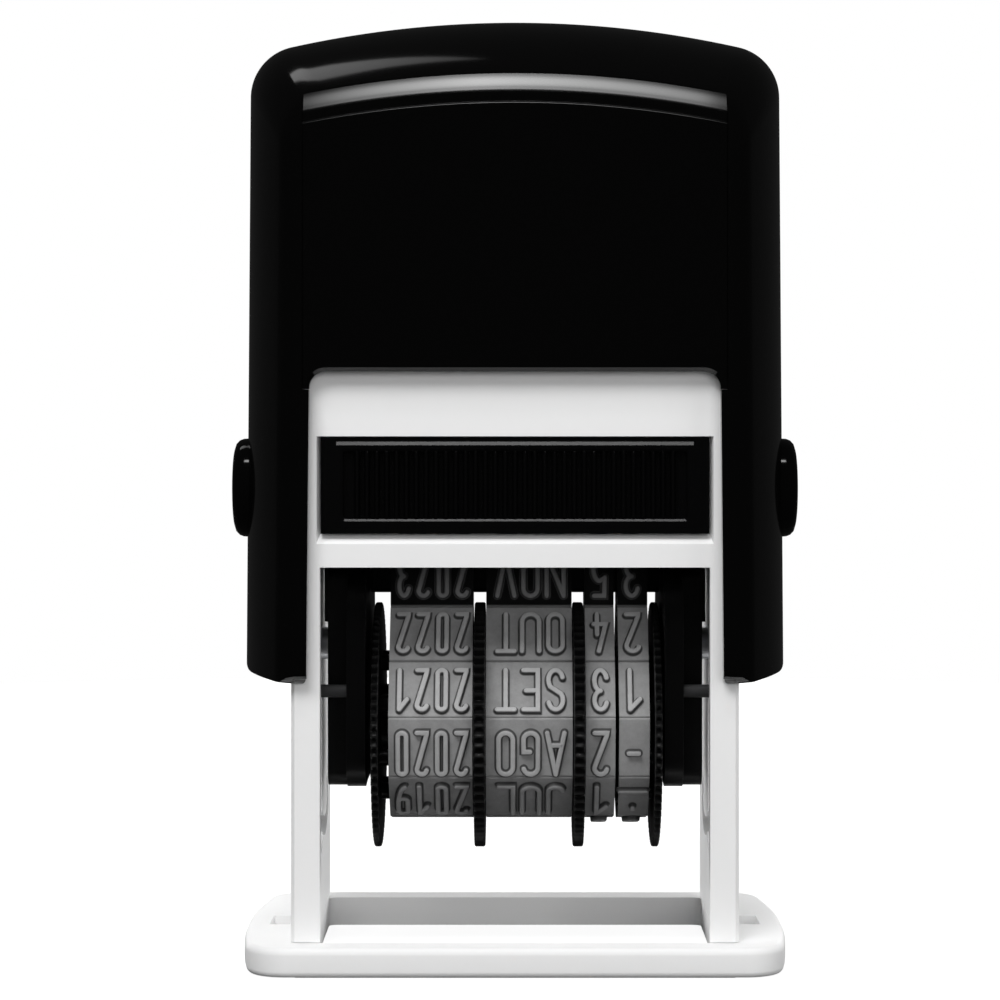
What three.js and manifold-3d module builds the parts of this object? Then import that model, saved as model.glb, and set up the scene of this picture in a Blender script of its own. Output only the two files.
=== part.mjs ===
// Self-inking date stamp. Millimetres, +Z up, standing on z = 0, front towards -Y, left is -X.
import * as THREE from "three";
import { mergeVertices } from "three/addons/utils/BufferGeometryUtils.js";
import Module from "manifold-3d";

const wasm = await Module();
wasm.setup();

// ---------------------------------------------------------------- driving dimensions
const GAP = 0.3; // running clearance between neighbouring pieces
const SEAM = 0.12; // clearance where two pieces only sit together

const BASE = { halfX: 23.2, halfY: 15.5, top: 2.5, edge: 0.6, barrel: 0.0055, corner: 3 };
const WINDOW = { halfX: 16.9, front: -12.8, back: 11.8, corner: 0.8 };
const FRAME = { outX: 18.6, lipX: 16.2, webX: 16.9, halfY: 12.9, wall: 1.5, top: 52.6, deck: 1.4 };
const TENON = { inner: 17.45, outer: 18.35, halfY: 8, low: 1, pocket: 0.8 }; // each leg's foot in the base
const FOOT_SLOT = { inner: 19.4, outer: 21.1, front: -3.2, back: 1.4, floor: 0.9 };
const BAY = { barBottom: 33.66, sill: 36.4, lintel: 44.45 };
const RUNNER = { inner: 15.3, halfY: 11.6, low: 40.3, high: 41.3 }; // the tray slides on it
const TRAY = { halfX: 15.9, low: 36.7, high: 44.15, wall: 1.2, end: 1.7 };
const GRIP = { halfX: 14.3, low: 37.5, high: 43.3, depth: 0.7, ribs: 33, pitch: 0.82, ribHalf: 0.2 };
const PAD_LOW = 36.55; // the felt hangs just below the tray
const CUP = { floor: 47.2, under: 46, inner: 5.4, outer: 6.6 };
const SPRING = { radius: 4.3, wire: 0.45, turns: 8.5, low: 47.35, high: 76.85 };
const POST = { radius: 2.3, low: 64.6, top: 78.05, boss: 6.2 }; // hangs from the cap inside the spring

const CAP = {
  bottom: 24,
  top: 80.45,
  halfX: 23.3, // at the bottom
  halfXTop: 22.95,
  halfY: 14.5,
  wall: 1.35,
  archRadius: 89,
  shoulder: 4.5,
  sideBarrel: 0.0195,
  topBarrel: 0.0326,
  edge: 1.4,
  innerBarrel: 0.017,
  innerEdge: 0.3,
};
const CUTOUT = { halfX: 17, halfXLow: 17.25, top: 49.9, corner: 1.4 };
const PANEL = { halfX: 17.5, low: 48.45, top: 74.1 };
const BUTTON = { z: 40.05, radius: 4.28, out: 24.45, flange: 5.1, back: 20.5, flangeOut: 21.2 };

const PIVOT_Z = 26.5; // carriage axis in the cap arms
const STROKE = 16.7; // full travel of the cap, which turns the carriage half a turn
const PIVOT_RADIUS = 1.4;
const PIVOT_END = 21.7; // where the pivot pins end in the cap arms
const GUIDE_PIN = { y: -8, z: -3.5, radius: 0.55, end: 17.6 }; // y and z are from the pivot

const AXLE = { z: 19.45, radius: 1.3, end: 15.45 }; // carries the thumbwheels
const DISC = { radius: 10.6, teeth: 76, depth: 0.35 };
const BAND = { radius: 8.4, relief: 0.45, thick: 0.9, groove: 0.16, face: 35.8 };
const DRUM = { radius: 6.8, hub: 2.6, bore: 1.5, pegs: 8, pegRadius: 0.7, pegsAt: 6 };
const BRIDGE = { halfY: 1.9, low: 31, high: 34.6 }; // backs the type that prints
const PLATE = { inner: 12.6, mid: 14.2, outer: 16, rim: 16.35 };
// the raised pad on the outer side of a cheek, and the thin rim on it
const PAD = { halfY: 5.2, low: 14.6, high: 33.5, corner: 1.3, rimHalfY: 4, rimLow: 28.6 };

// Each date column: its toothed disc, where its drum ends, and its rubber band, along X.
const COLUMNS = [
  { name: "year", disc: [-12.15, -11.55], drum: [-10.6, -3.6], band: [-10.74, -3.6] },
  { name: "month", disc: [-3.5, -2.56], drum: [-2.5, 4.9], band: [-2.5, 4.9] },
  { name: "day_units", disc: [5, 5.9], drum: [5.98, 8.5], band: [5.98, 8.52] },
  { name: "day_tens", disc: [11.8, 12.4], drum: [8.75, 11.45], band: [8.8, 11.42] },
];

const WHITE = { color: 0xf1f1ef, roughness: 0.45 };
const BLACK = { color: 0x0c0c0d, roughness: 0.2 };
const RUBBER = { color: 0x6f7173, roughness: 0.75 };
const STEEL = { color: 0xb9bdc2, roughness: 0.3, metalness: 1 };
const FELT = { color: 0x1b1b26, roughness: 0.95 };

// ---------------------------------------------------------------- outlines
const point = (x, y) => new THREE.Vector2(x, y);

function arc(cx, cy, radius, from, to, steps) {
  const out = [];
  for (let i = 0; i <= steps; i++) {
    const a = THREE.MathUtils.degToRad(from + ((to - from) * i) / steps);
    out.push(point(cx + radius * Math.cos(a), cy + radius * Math.sin(a)));
  }
  return out;
}

function roundedBox(x0, x1, y0, y1, r, steps = 4) {
  return [
    ...arc(x1 - r, y1 - r, r, 0, 90, steps),
    ...arc(x0 + r, y1 - r, r, 90, 180, steps),
    ...arc(x0 + r, y0 + r, r, 180, 270, steps),
    ...arc(x1 - r, y0 + r, r, 270, 360, steps),
  ];
}

const mirrored = (points) => points.map((p) => point(-p.x, p.y)).reverse();

// Moves every edge of a closed anticlockwise outline outwards by d.
function offsetOutline(points, d) {
  const n = points.length;
  return points.map((p, i) => {
    const before = p.clone().sub(points[(i + n - 1) % n]).normalize();
    const after = points[(i + 1) % n].clone().sub(p).normalize();
    const a = point(before.y, -before.x);
    const b = point(after.y, -after.x);
    const mitre = a.clone().add(b);
    return p.clone().addScaledVector(mitre, (2 * d) / mitre.lengthSq());
  });
}

// How far a rounded, barrel-shaped side has come in at distance y from the middle.
function inset(y, half, barrel, edge) {
  const past = Math.max(0, Math.abs(y) - (half - edge));
  return barrel * y * y + edge - Math.sqrt(Math.max(0, edge * edge - past * past));
}

// Stations from the front to the back, closer together on the rounded edges.
function stations(half, edge, middle, rounded) {
  const out = [];
  for (let i = 0; i < rounded; i++) {
    out.push(-half + edge * (1 - Math.cos((i / rounded) * (Math.PI / 2))));
  }
  for (let i = 0; i <= middle; i++) {
    out.push((half - edge) * ((2 * i) / middle - 1));
  }
  for (let i = rounded - 1; i >= 0; i--) {
    out.push(-out[i]);
  }
  return out;
}

// ---------------------------------------------------------------- solids
function solidOf(geometry) {
  geometry.deleteAttribute("normal");
  geometry.deleteAttribute("uv");
  const merged = mergeVertices(geometry, 1e-4);
  const mesh = new wasm.Mesh({
    numProp: 3,
    vertProperties: merged.attributes.position.array,
    triVerts: new Uint32Array(merged.index.array),
  });
  return new wasm.Manifold(mesh);
}

const AXES = {
  x: [new THREE.Vector3(0, 1, 0), new THREE.Vector3(0, 0, 1), new THREE.Vector3(1, 0, 0)],
  y: [new THREE.Vector3(0, 0, 1), new THREE.Vector3(1, 0, 0), new THREE.Vector3(0, 1, 0)],
  z: [new THREE.Vector3(1, 0, 0), new THREE.Vector3(0, 1, 0), new THREE.Vector3(0, 0, 1)],
};

// Leaves out points that lie on the straight line between their neighbours.
function cleanOutline(points) {
  const n = points.length;
  return points.filter((p, i) => {
    const a = p.clone().sub(points[(i + n - 1) % n]);
    const b = points[(i + 1) % n].clone().sub(p);
    return Math.abs(a.cross(b)) > 1e-6;
  });
}

// An outline pushed from lo to hi along an axis. Outlines are (y, z) for x, (z, x) for y, (x, y) for z.
function prism(axis, outline, lo, hi) {
  const shape = new THREE.Shape(cleanOutline(outline));
  const geometry = new THREE.ExtrudeGeometry(shape, { depth: hi - lo, bevelEnabled: false });
  const place = new THREE.Matrix4().makeBasis(...AXES[axis]);
  place.multiply(new THREE.Matrix4().makeTranslation(0, 0, lo));
  geometry.applyMatrix4(place);
  return solidOf(geometry);
}

// An outline drawn as (x, z), seen from the front, pushed along Y.
const frontPrism = (outline, lo, hi) => prism("y", outline.map((p) => point(p.y, p.x)), lo, hi);

function block(x0, x1, y0, y1, z0, z1) {
  return prism("z", [point(x0, y0), point(x1, y0), point(x1, y1), point(x0, y1)], z0, z1);
}

function rodX(y, z, radius, x0, x1, sides = 24) {
  return prism("x", arc(y, z, radius, 0, 360, sides).slice(0, -1), x0, x1);
}

function rodZ(radius, z0, z1, sides = 32) {
  return prism("z", arc(0, 0, radius, 0, 360, sides).slice(0, -1), z0, z1);
}

const unite = (solids) => solids.reduce((all, s) => all.add(s));

// Two distances from the middle, on the left (-1) or right (1) side, in rising order.
const span = (side, a, b) => [a * side, b * side].sort((p, q) => p - q);

// Joins rings of equal length, and closes both ends with flat faces.
function loft(rings) {
  const count = rings[0].length;
  const vertices = rings.flat().flatMap((p) => [p.x, p.y, p.z]);
  const faces = [];
  for (let i = 0; i + 1 < rings.length; i++) {
    for (let k = 0; k < count; k++) {
      const a = i * count + k;
      const b = i * count + ((k + 1) % count);
      faces.push(a, b, b + count, a, b + count, a + count);
    }
  }
  const last = (rings.length - 1) * count;
  for (let k = 1; k + 1 < count; k++) {
    faces.push(0, k + 1, k, last, last + k, last + k + 1);
  }
  const geometry = new THREE.BufferGeometry();
  geometry.setAttribute("position", new THREE.Float32BufferAttribute(vertices, 3));
  geometry.setIndex(faces);
  return solidOf(geometry);
}

function mesh(name, solid, look) {
  const m = solid.getMesh();
  const geometry = new THREE.BufferGeometry();
  geometry.setAttribute("position", new THREE.BufferAttribute(m.vertProperties, m.numProp));
  geometry.setIndex(new THREE.BufferAttribute(m.triVerts, 1));
  geometry.computeVertexNormals();
  const made = new THREE.Mesh(geometry, new THREE.MeshStandardMaterial(look));
  made.name = name;
  return made;
}

// ---------------------------------------------------------------- base
function baseOutline(inward) {
  const half = BASE.halfY - inward;
  const corner = BASE.corner - inward;
  const side = stations(half, corner, 8, 5).map((y) => {
    return point(BASE.halfX - inward - inset(y, half, BASE.barrel, corner), y);
  });
  return [...side, ...mirrored(side)];
}

function baseFoot() {
  const levels = [
    [0, BASE.edge],
    [BASE.edge * 0.3, BASE.edge * 0.3],
    [BASE.edge, 0],
    [BASE.top - BASE.edge, 0],
    [BASE.top - BASE.edge * 0.3, BASE.edge * 0.3],
    [BASE.top, BASE.edge],
  ];
  const body = loft(
    levels.map(([z, inward]) => baseOutline(inward).map((p) => new THREE.Vector3(p.x, p.y, z))),
  );
  const hole = roundedBox(-WINDOW.halfX, WINDOW.halfX, WINDOW.front, WINDOW.back, WINDOW.corner);
  let foot = body.subtract(prism("z", hole, -1, BASE.top + 1));
  for (const side of [-1, 1]) {
    const pocket = span(side, TENON.inner - SEAM, TENON.outer + SEAM);
    const pocketHalf = TENON.halfY + SEAM;
    foot = foot.subtract(block(...pocket, -pocketHalf, pocketHalf, TENON.pocket, BASE.top + 1));
    const { inner, outer, front, back, floor } = FOOT_SLOT;
    foot = foot.subtract(block(...span(side, inner, outer), front, back, floor, BASE.top + 1));
  }
  return foot;
}

// ---------------------------------------------------------------- frame
// Where the guide pin goes while the cap comes down and the carriage turns half a turn.
function pinPath(steps) {
  const out = [];
  for (let i = 0; i <= steps; i++) {
    const turn = (Math.PI * i) / steps;
    const drop = (STROKE * i) / steps;
    const y = GUIDE_PIN.y * Math.cos(turn) - GUIDE_PIN.z * Math.sin(turn);
    const z = GUIDE_PIN.y * Math.sin(turn) + GUIDE_PIN.z * Math.cos(turn);
    out.push(point(y, PIVOT_Z - drop + z));
  }
  return out;
}

function camGroove(x0, x1) {
  const path = pinPath(28);
  const half = GUIDE_PIN.radius + GAP;
  const ways = path.map((p, i) => {
    const a = path[Math.max(0, i - 1)];
    const b = path[Math.min(path.length - 1, i + 1)];
    return b.clone().sub(a).normalize();
  });
  const rightSide = path.map((p, i) => point(p.x + ways[i].y * half, p.y - ways[i].x * half));
  const leftSide = path.map((p, i) => point(p.x - ways[i].y * half, p.y + ways[i].x * half));
  const strip = prism("x", [...rightSide, ...leftSide.reverse()], x0, x1);
  const ends = [path[0], path[path.length - 1]].map((p) => rodX(p.x, p.y, half, x0, x1, 16));
  return unite([strip, ...ends]);
}

function legOutline() {
  const { outX, lipX, webX, halfY, wall } = FRAME;
  return [
    point(lipX, -halfY),
    point(outX - 0.3, -halfY),
    point(outX, -halfY + 0.3),
    point(outX, halfY - 0.3),
    point(outX - 0.3, halfY),
    point(webX, halfY),
    point(webX, -halfY + wall),
    point(lipX, -halfY + wall),
  ];
}

// The left or right wall of the frame, built on the right and turned over for the left.
function leg(side) {
  const outline = side > 0 ? legOutline() : mirrored(legOutline());
  let wall = prism("z", outline, BASE.top + 0.05, FRAME.top);
  wall = wall.subtract(camGroove(...span(side, FRAME.webX - 1, GUIDE_PIN.end + GAP)));
  const slotHalf = PIVOT_RADIUS + GAP;
  const slot = roundedBox(
    -slotHalf,
    slotHalf,
    PIVOT_Z - STROKE - slotHalf,
    PIVOT_Z + slotHalf,
    slotHalf - 0.01,
    6,
  );
  wall = wall.subtract(prism("x", slot, ...span(side, FRAME.lipX - 1, FRAME.outX + 1)));
  const { inner, halfY, low, high } = RUNNER;
  const runner = block(...span(side, inner, FRAME.webX + 0.2), -halfY, halfY, low, high);
  const sides = span(side, TENON.inner, TENON.outer);
  const tenon = block(...sides, -TENON.halfY, TENON.halfY, TENON.low, BASE.top + 0.2);
  return unite([wall, runner, tenon]);
}

function frameHousing() {
  const { lipX, webX, halfY, wall, top, deck } = FRAME;
  const joined = 0.1; // how far the walls run into each other
  const inner = halfY - wall;
  const parts = [leg(-1), leg(1)];
  for (const face of [-1, 1]) {
    const depths = span(face, inner, halfY);
    const x = joined + (face < 0 ? lipX : webX);
    parts.push(block(-x, x, ...depths, BAY.barBottom, BAY.sill));
    parts.push(block(-x, x, ...depths, BAY.lintel, top));
  }
  const deckX = webX + joined;
  const deckY = inner + joined;
  parts.push(block(-deckX, deckX, -deckY, deckY, top - deck, top));
  parts.push(rodZ(CUP.outer, CUP.under, top));
  return unite(parts).subtract(rodZ(CUP.inner, CUP.floor, top + 1));
}

// ---------------------------------------------------------------- return spring
// The height of the wire along the spring: the first and last turns lie almost flat.
function springRise(share) {
  const closed = 0.1;
  const slow = 0.35;
  if (share < closed) return slow * share;
  if (share > 1 - closed) return 1 - slow * (1 - share);
  return slow * closed + ((1 - 2 * slow * closed) * (share - closed)) / (1 - 2 * closed);
}

function returnSpring() {
  const { radius, wire, turns, low, high } = SPRING;
  const perTurn = 14;
  const sides = 6;
  const steps = turns * perTurn;
  const travel = high - low - 2 * wire;
  const rings = [];
  for (let i = 0; i <= steps; i++) {
    const share = i / steps;
    const around = (i / perTurn) * 2 * Math.PI;
    const rise = springRise(share);
    const ring = [];
    for (let k = 0; k < sides; k++) {
      const a = (k / sides) * 2 * Math.PI;
      const r = radius + wire * Math.cos(a);
      const z = low + wire + travel * rise + wire * Math.sin(a);
      ring.push(new THREE.Vector3(r * Math.cos(around), r * Math.sin(around), z));
    }
    rings.push(ring);
  }
  return loft(rings.map((ring) => ring.reverse()));
}

// ---------------------------------------------------------------- cap
// The cap's outline seen from the front, brought in at the sides and at the top.
function capOutline(sideIn, topIn, bottom) {
  const r = CAP.shoulder;
  const low = CAP.halfX - sideIn;
  const high = CAP.halfXTop - sideIn;
  const top = CAP.top - topIn;
  const centreZ = top - CAP.archRadius;
  const x = high - r;
  const z = centreZ + Math.sqrt((CAP.archRadius - r) ** 2 - x * x);
  const lean = THREE.MathUtils.radToDeg(Math.atan2(z - centreZ, x));
  const shoulder = arc(x, z, r, 0, lean, 7);
  const crown = arc(0, centreZ, CAP.archRadius, lean, 90, 6).slice(1);
  const right = [point(low, bottom), ...shoulder, ...crown];
  return [...right, ...mirrored(right).slice(1)];
}

function capForm(wall, bottom, barrel = CAP.sideBarrel, edge = CAP.edge) {
  const half = CAP.halfY - wall;
  const rings = stations(half, edge, 8, wall > 0 ? 1 : 4).map((y) => {
    const sideIn = wall + inset(y, half, barrel, edge);
    const topIn = wall + inset(y, half, CAP.topBarrel, edge);
    return capOutline(sideIn, topIn, bottom).map((p) => new THREE.Vector3(p.x, y, p.y));
  });
  return loft(rings.reverse());
}

function crownLine(halfX, top) {
  const centreZ = top - CAP.archRadius;
  const lean = THREE.MathUtils.radToDeg(Math.acos(halfX / CAP.archRadius));
  return arc(0, centreZ, CAP.archRadius, lean, 180 - lean, 12);
}

// The opening of the front and back walls: the legs show below, a panel closes it above.
function wallOpening() {
  const x = PANEL.halfX + SEAM;
  return [
    point(CUTOUT.halfXLow, CAP.bottom - 3),
    point(CUTOUT.halfX, PANEL.low - SEAM),
    point(x, PANEL.low - SEAM),
    ...crownLine(x, PANEL.top + SEAM),
    point(-x, PANEL.low - SEAM),
    point(-CUTOUT.halfX, PANEL.low - SEAM),
    point(-CUTOUT.halfXLow, CAP.bottom - 3),
  ];
}

function capPanel(face) {
  const depths = span(face, CAP.halfY - CAP.wall, CAP.halfY + 1);
  const outline = [
    point(-PANEL.halfX, PANEL.low),
    point(PANEL.halfX, PANEL.low),
    ...crownLine(PANEL.halfX, PANEL.top),
  ];
  const cut = roundedBox(-CUTOUT.halfX, CUTOUT.halfX, CAP.bottom, CUTOUT.top, CUTOUT.corner, 5);
  const plate = frontPrism(outline, ...depths).subtract(frontPrism(cut, -20, 20));
  return plate.intersect(capForm(0, CAP.bottom));
}

// The bosses of the pivots, two guide ribs in each arm, and the seat of the spring.
function capFittings() {
  const parts = [rodZ(POST.boss, SPRING.high + 0.15, CAP.top)];
  const reach = CAP.halfX - 0.3;
  for (const side of [-1, 1]) {
    parts.push(rodX(0, PIVOT_Z, 2.5, ...span(side, FRAME.outX + GAP, reach), 32));
    for (const y of [-7, 7]) {
      parts.push(block(...span(side, FRAME.outX + 0.25, reach), y - 0.5, y + 0.5, CAP.bottom + 2, 68));
    }
  }
  return unite(parts).intersect(capForm(CAP.wall * 0.5, CAP.bottom));
}

function capShell() {
  const hollow = capForm(CAP.wall, CAP.bottom - 2, CAP.innerBarrel, CAP.innerEdge);
  let shell = capForm(0, CAP.bottom).subtract(hollow);
  for (const face of [-1, 1]) {
    const depths = span(face, CAP.halfY - CAP.wall - 0.6, CAP.halfY + 1);
    shell = shell.subtract(frontPrism(wallOpening(), ...depths));
  }
  shell = shell.add(capFittings());
  shell = shell.subtract(rodZ(POST.radius + SEAM, POST.low, POST.top + 0.2, 24));
  for (const side of [-1, 1]) {
    shell = shell.subtract(rodX(0, PIVOT_Z, PIVOT_RADIUS + 0.2, ...span(side, 15, PIVOT_END + 0.2)));
    shell = shell.subtract(rodX(0, BUTTON.z, BUTTON.radius + 0.2, ...span(side, 19, 26), 32));
  }
  return shell;
}

const guidePost = () => rodZ(POST.radius, POST.low, POST.top, 24);

function lockButton(side) {
  const { z, radius, out, flange, back, flangeOut } = BUTTON;
  const layers = [
    [flange, back, flangeOut],
    [radius, back, out - 0.4],
    [radius - 0.3, back, out],
    [1.5, back - 0.55, back + 0.5],
  ];
  return unite(layers.map(([r, from, to]) => rodX(0, z, r, ...span(side, from, to), 28)));
}

// ---------------------------------------------------------------- ink cartridge
function inkTray() {
  const { halfX: x, low, high, wall, end } = TRAY;
  const y = FRAME.halfY;
  let tray = block(-x, x, -y, y, low, high);
  tray = tray.subtract(block(-x + wall, x - wall, -y + end, y - end, low - 1, high - wall));
  // Side grooves for the frame's runners, open at the rear so that the tray slides out to the front.
  for (const side of [-1, 1]) {
    const sides = span(side, RUNNER.inner - GAP, x + 1);
    const heights = [RUNNER.low - GAP, RUNNER.high + GAP];
    tray = tray.subtract(block(...sides, -RUNNER.halfY - GAP, y + 1, ...heights));
  }
  for (const face of [-1, 1]) {
    const recess = span(face, y - GRIP.depth, y + 1);
    tray = tray.subtract(block(-GRIP.halfX, GRIP.halfX, ...recess, GRIP.low, GRIP.high));
    const ribDepths = span(face, y - GRIP.depth - 0.1, y - 0.25);
    for (let i = 0; i < GRIP.ribs; i++) {
      const middle = (i - (GRIP.ribs - 1) / 2) * GRIP.pitch;
      const ribSides = [middle - GRIP.ribHalf, middle + GRIP.ribHalf];
      tray = tray.add(block(...ribSides, ...ribDepths, GRIP.low - 0.1, GRIP.high + 0.1));
    }
  }
  return tray;
}

function inkPad() {
  const x = TRAY.halfX - TRAY.wall - GAP;
  const y = FRAME.halfY - TRAY.end - GAP;
  return prism("z", roundedBox(-x, x, -y, y, 0.6), PAD_LOW, TRAY.high - TRAY.wall - GAP);
}

// ---------------------------------------------------------------- carriage
// The inner plate of a cheek, seen from the side: waisted above, with a straight front edge below.
function cheekOutline() {
  const front = 9.3; // reach of the straight edges, from PIVOT_Z down to 17.6
  return [
    point(3.2, 35.2),
    point(-3.2, 35.2),
    ...arc(-3.6, 29.2, 5.2, 125, 175, 4),
    point(-front, PIVOT_Z),
    point(-front, 17.6),
    ...arc(-6.3, 17.7, 3, 190, 250, 4),
    point(-4.5, 15.1),
    point(4.5, 15.1),
    ...arc(6.3, 17.7, 3, 290, 350, 4),
    point(front, 17.6),
    point(front, PIVOT_Z),
    ...arc(3.6, 29.2, 5.2, 5, 55, 4),
  ];
}

function carriageCheek(side) {
  const { inner, mid, outer, rim } = PLATE;
  let cheek = prism("x", cheekOutline(), ...span(side, inner, mid));
  const pad = roundedBox(-PAD.halfY, PAD.halfY, PAD.low, PAD.high, PAD.corner);
  cheek = cheek.add(prism("x", pad, ...span(side, mid - 0.2, outer)));
  const rimSides = span(side, outer - 0.2, rim);
  cheek = cheek.add(block(...rimSides, -PAD.rimHalfY, PAD.rimHalfY, PAD.rimLow, PAD.high - 0.3));
  cheek = cheek.subtract(rodX(0, PIVOT_Z, PIVOT_RADIUS + SEAM, ...span(side, inner + 0.4, 20)));
  cheek = cheek.subtract(rodX(0, AXLE.z, AXLE.radius + SEAM, ...span(side, 10, outer - 0.4)));
  const pin = pinPath(1)[0];
  const hole = rodX(pin.x, pin.y, GUIDE_PIN.radius + 0.1, ...span(side, inner + 0.3, 18), 16);
  return cheek.subtract(hole);
}

function pivotPin(side) {
  return rodX(0, PIVOT_Z, PIVOT_RADIUS, ...span(side, PLATE.inner + 0.55, PIVOT_END));
}

function guidePin(side) {
  const pin = pinPath(1)[0];
  return rodX(pin.x, pin.y, GUIDE_PIN.radius, ...span(side, PLATE.inner + 0.4, GUIDE_PIN.end), 16);
}

function typeBridge() {
  const x = PLATE.inner - SEAM;
  const { halfY, low, high } = BRIDGE;
  return prism("x", roundedBox(-halfY, halfY, low, high, 0.5, 3), -x, x);
}

const wheelAxle = () => rodX(0, AXLE.z, AXLE.radius, -AXLE.end, AXLE.end);

// The loop that a rubber band runs in, seen from the side: round the drum, then over the bridge.
function bandLoop(chamfered) {
  const onDrum = [];
  for (let i = 0; i < 8; i++) {
    const a = THREE.MathUtils.degToRad(45 - 36 * i);
    onDrum.push(point(-BAND.radius * Math.cos(a), AXLE.z + BAND.radius * Math.sin(a)));
  }
  const last = onDrum[7];
  const shoulder = point(3.1, 29.9);
  const halfway = last.clone().add(shoulder).multiplyScalar(0.5);
  const chamfer = [point(shoulder.x, BAND.face - 0.5), point(shoulder.x - 0.5, BAND.face)];
  const corner = chamfered ? chamfer : [point(shoulder.x, BAND.face)];
  return [...onDrum, halfway, shoulder, ...corner, ...mirrored([shoulder, ...corner])];
}

// One raised type block for each straight edge of the loop, with a groove at each corner.
function dateBand(x0, x1) {
  const loop = bandLoop(true);
  const tops = offsetOutline(loop, BAND.relief);
  const roots = offsetOutline(loop, 0.1);
  const outer = [];
  tops.forEach((p, i) => {
    const next = tops[(i + 1) % tops.length];
    const way = next.clone().sub(p);
    if (way.length() > 2) {
      const step = way.clone().normalize().multiplyScalar(BAND.groove);
      outer.push(p.clone().add(step), next.clone().sub(step));
    }
    outer.push(roots[(i + 1) % roots.length]);
  });
  const body = prism("x", outer, x0, x1);
  return body.subtract(prism("x", offsetOutline(bandLoop(false), -BAND.thick), x0 - 1, x1 + 1));
}

function thumbwheel({ disc, drum }) {
  const outline = [];
  for (let i = 0; i < DISC.teeth; i++) {
    const step = (2 * Math.PI) / DISC.teeth;
    for (const [a, radius] of [
      [i * step, DISC.radius],
      [(i + 0.5) * step, DISC.radius - DISC.depth],
    ]) {
      outline.push(point(radius * Math.cos(a), AXLE.z + radius * Math.sin(a)));
    }
  }
  const pieces = [prism("x", outline, ...disc), rodX(0, AXLE.z, DRUM.radius, ...drum, 28)];
  const low = Math.min(disc[0], drum[0]) + 0.1;
  const high = Math.max(disc[1], drum[1]) - 0.1;
  pieces.push(rodX(0, AXLE.z, DRUM.hub, low, high, 16));
  for (let i = 0; i < DRUM.pegs; i++) {
    const a = (i / DRUM.pegs) * 2 * Math.PI + 0.4;
    const y = DRUM.pegsAt * Math.cos(a);
    const z = AXLE.z + DRUM.pegsAt * Math.sin(a);
    pieces.push(rodX(y, z, DRUM.pegRadius, low, high, 6));
  }
  return unite(pieces).subtract(rodX(0, AXLE.z, DRUM.bore, -20, 20, 20));
}

// ---------------------------------------------------------------- the stamp
const stamp = new THREE.Group();
stamp.add(mesh("base_foot", baseFoot(), WHITE));
stamp.add(mesh("frame_housing", frameHousing(), WHITE));
stamp.add(mesh("return_spring", returnSpring(), STEEL));
stamp.add(mesh("cap_shell", capShell(), BLACK));
stamp.add(mesh("cap_front_panel", capPanel(-1), BLACK));
stamp.add(mesh("cap_rear_panel", capPanel(1), BLACK));
stamp.add(mesh("spring_guide_post", guidePost(), BLACK));
stamp.add(mesh("ink_cartridge_tray", inkTray(), BLACK));
stamp.add(mesh("ink_pad", inkPad(), FELT));
stamp.add(mesh("type_bridge", typeBridge(), BLACK));
stamp.add(mesh("wheel_axle", wheelAxle(), STEEL));
for (const [side, word] of [
  [-1, "left"],
  [1, "right"],
]) {
  stamp.add(mesh("lock_button_" + word, lockButton(side), BLACK));
  stamp.add(mesh("carriage_cheek_" + word, carriageCheek(side), BLACK));
  stamp.add(mesh("pivot_pin_" + word, pivotPin(side), STEEL));
  stamp.add(mesh("guide_pin_" + word, guidePin(side), BLACK));
}
for (const column of COLUMNS) {
  stamp.add(mesh(column.name + "_thumbwheel", thumbwheel(column), BLACK));
  stamp.add(mesh(column.name + "_band", dateBand(...column.band), RUBBER));
}

export default stamp;
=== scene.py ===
import bpy
import bmesh
import math
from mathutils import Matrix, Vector


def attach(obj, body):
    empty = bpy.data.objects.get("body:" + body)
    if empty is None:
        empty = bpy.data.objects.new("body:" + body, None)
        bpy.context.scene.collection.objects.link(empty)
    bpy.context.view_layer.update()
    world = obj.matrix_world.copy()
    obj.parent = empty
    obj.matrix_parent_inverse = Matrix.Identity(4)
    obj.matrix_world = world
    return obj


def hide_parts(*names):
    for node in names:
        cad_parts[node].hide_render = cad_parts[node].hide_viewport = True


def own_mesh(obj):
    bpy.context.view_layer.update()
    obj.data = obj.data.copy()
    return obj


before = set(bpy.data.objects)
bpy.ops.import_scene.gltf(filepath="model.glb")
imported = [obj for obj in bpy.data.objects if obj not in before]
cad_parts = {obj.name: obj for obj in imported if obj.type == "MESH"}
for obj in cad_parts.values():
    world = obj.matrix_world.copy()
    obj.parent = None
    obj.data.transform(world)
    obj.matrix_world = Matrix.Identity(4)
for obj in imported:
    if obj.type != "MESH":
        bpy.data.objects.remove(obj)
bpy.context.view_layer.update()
MM = 0.001

# ------------------------------------------------------------------ sizes in mm, as in the CAD part
CAP_BOTTOM, CAP_TOP = 24.0, 80.45
CAP_HALF_X, CAP_HALF_X_TOP, CAP_HALF_Y = 23.3, 22.95, 14.5
CAP_WALL, CAP_ARCH, CAP_SHOULDER, CAP_EDGE = 1.35, 89.0, 4.5, 1.4
SIDE_BARREL, TOP_BARREL, INNER_BARREL = 0.0195, 0.0326, 0.017
CUT_HALF, CUT_HALF_LOW, CUT_TOP = 17.0, 17.25, 49.9
PANEL_HALF, PANEL_LOW, FACET_TOP = 17.5, 48.45, 74.62
BUTTON_Z, BUTTON_R = 40.05, 4.28
BASE_X, BASE_Y, BASE_CORNER, BASE_BARREL = 23.2, 15.5, 3.0, 0.0055
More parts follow.
